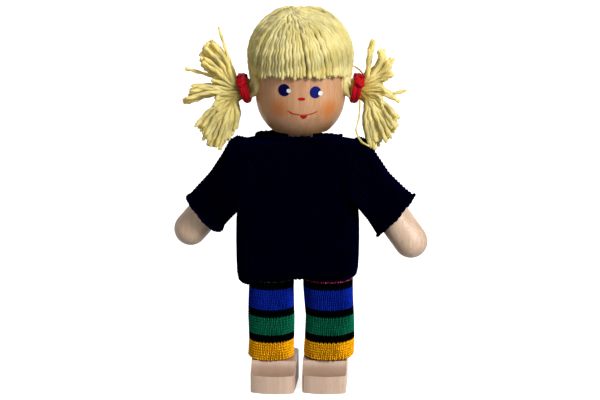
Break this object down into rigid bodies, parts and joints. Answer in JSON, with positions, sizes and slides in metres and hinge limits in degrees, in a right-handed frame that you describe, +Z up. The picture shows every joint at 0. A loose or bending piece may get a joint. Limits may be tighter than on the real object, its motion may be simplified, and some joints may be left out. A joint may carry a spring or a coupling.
{
  "type": "jointed wooden peg doll",
  "caption": "Dolls' house doll with a turned wooden head, wired dowel limbs and block shoes, knitted sweater and striped trousers, and a yarn wig with bound pigtails.",
  "frame": {"origin": "on the floor, midway between the feet and under the middle of the overall box", "axes": "+Z up; the doll faces -Y; its own right is at -X and its own left at +X"},
  "size_m": [0.0639, 0.026, 0.0976],
  "materials": {
    "face_wood": "sanded, thin clear coat",
    "body_wood": "sanded",
    "limb_wood": "sanded, thin clear coat",
    "shoe_wood": "sanded, thin clear coat",
    "hair_yarn": "two-ply wool-like yarn",
    "tie_elastic": "covered elastic",
    "limb_wire": "drawn soft wire",
    "sweater_knit": "plain knit",
    "seat_knit": "plain knit",
    "striped_knit": "plain knit in stripes"
  },
  "bodies": {
    "trunk": {"torso": "body_wood", "neck_peg": "body_wood", "hip_wire_right": "limb_wire", "hip_wire_left": "limb_wire", "sweater_body": "sweater_knit", "trouser_seat": "seat_knit"},
    "head": {"head": "face_wood", "fringe": "hair_yarn", "back_hair": "hair_yarn", "crown_knot": "hair_yarn", "pigtail_right": "hair_yarn", "pigtail_left": "hair_yarn", "hair_tie_right": "tie_elastic", "hair_tie_left": "tie_elastic"},
    "right_shoulder": {"shoulder_wire_right": "limb_wire"},
    "left_shoulder": {"shoulder_wire_left": "limb_wire"},
    "right_arm": {"arm_wire_right": "limb_wire", "arm_right": "limb_wood", "sleeve_right": "sweater_knit"},
    "left_arm": {"arm_wire_left": "limb_wire", "arm_left": "limb_wood", "sleeve_left": "sweater_knit"},
    "right_hip": {"hip_bend_right": "limb_wire"},
    "left_hip": {"hip_bend_left": "limb_wire"},
    "right_leg": {"leg_wire_right": "limb_wire", "leg_right": "limb_wood", "trouser_leg_right": "striped_knit", "shoe_right": "shoe_wood"},
    "left_leg": {"leg_wire_left": "limb_wire", "leg_left": "limb_wood", "trouser_leg_left": "striped_knit", "shoe_left": "shoe_wood"}
  },
  "joints": [
    {"name": "neck_turn", "type": "hinge", "parent": "trunk", "child": "head", "pos_m": [0, 0, 0.0657], "axis": [0, 0, 1], "continuous": true},
    {"name": "right_shoulder_swing", "type": "hinge", "parent": "trunk", "child": "right_shoulder", "pos_m": [-0.0152, 0, 0.0547], "axis": [-1, 0, 0], "range_deg": [-24, 111]},
    {"name": "right_arm_raise", "type": "hinge", "parent": "right_shoulder", "child": "right_arm", "pos_m": [-0.0152, 0, 0.0547], "axis": [0, 0.9336, 0.3584], "range_deg": [-13, 52], "deforming": ["sleeve_right"]},
    {"name": "left_shoulder_swing", "type": "hinge", "parent": "trunk", "child": "left_shoulder", "pos_m": [0.0152, 0, 0.0547], "axis": [-1, 0, 0], "range_deg": [-55, 80]},
    {"name": "left_arm_raise", "type": "hinge", "parent": "left_shoulder", "child": "left_arm", "pos_m": [0.0152, 0, 0.0547], "axis": [0, -0.9848, 0.1736], "range_deg": [-14, 53], "deforming": ["sleeve_left"]},
    {"name": "right_hip_swing", "type": "hinge", "parent": "trunk", "child": "right_hip", "pos_m": [-0.0072, 0, 0.0372], "axis": [-1, 0, 0], "range_deg": [-30, 85], "deforming": ["trouser_seat", "sweater_body"]},
    {"name": "right_leg_spread", "type": "hinge", "parent": "right_hip", "child": "right_leg", "pos_m": [-0.0072, 0, 0.0372], "axis": [0, 1, 0], "range_deg": [0, 6]},
    {"name": "left_hip_swing", "type": "hinge", "parent": "trunk", "child": "left_hip", "pos_m": [0.0072, 0, 0.0372], "axis": [-1, 0, 0], "range_deg": [-30, 85]},
    {"name": "left_leg_spread", "type": "hinge", "parent": "left_hip", "child": "left_leg", "pos_m": [0.0072, 0, 0.0372], "axis": [0, -1, 0], "range_deg": [0, 6]}
  ]
}
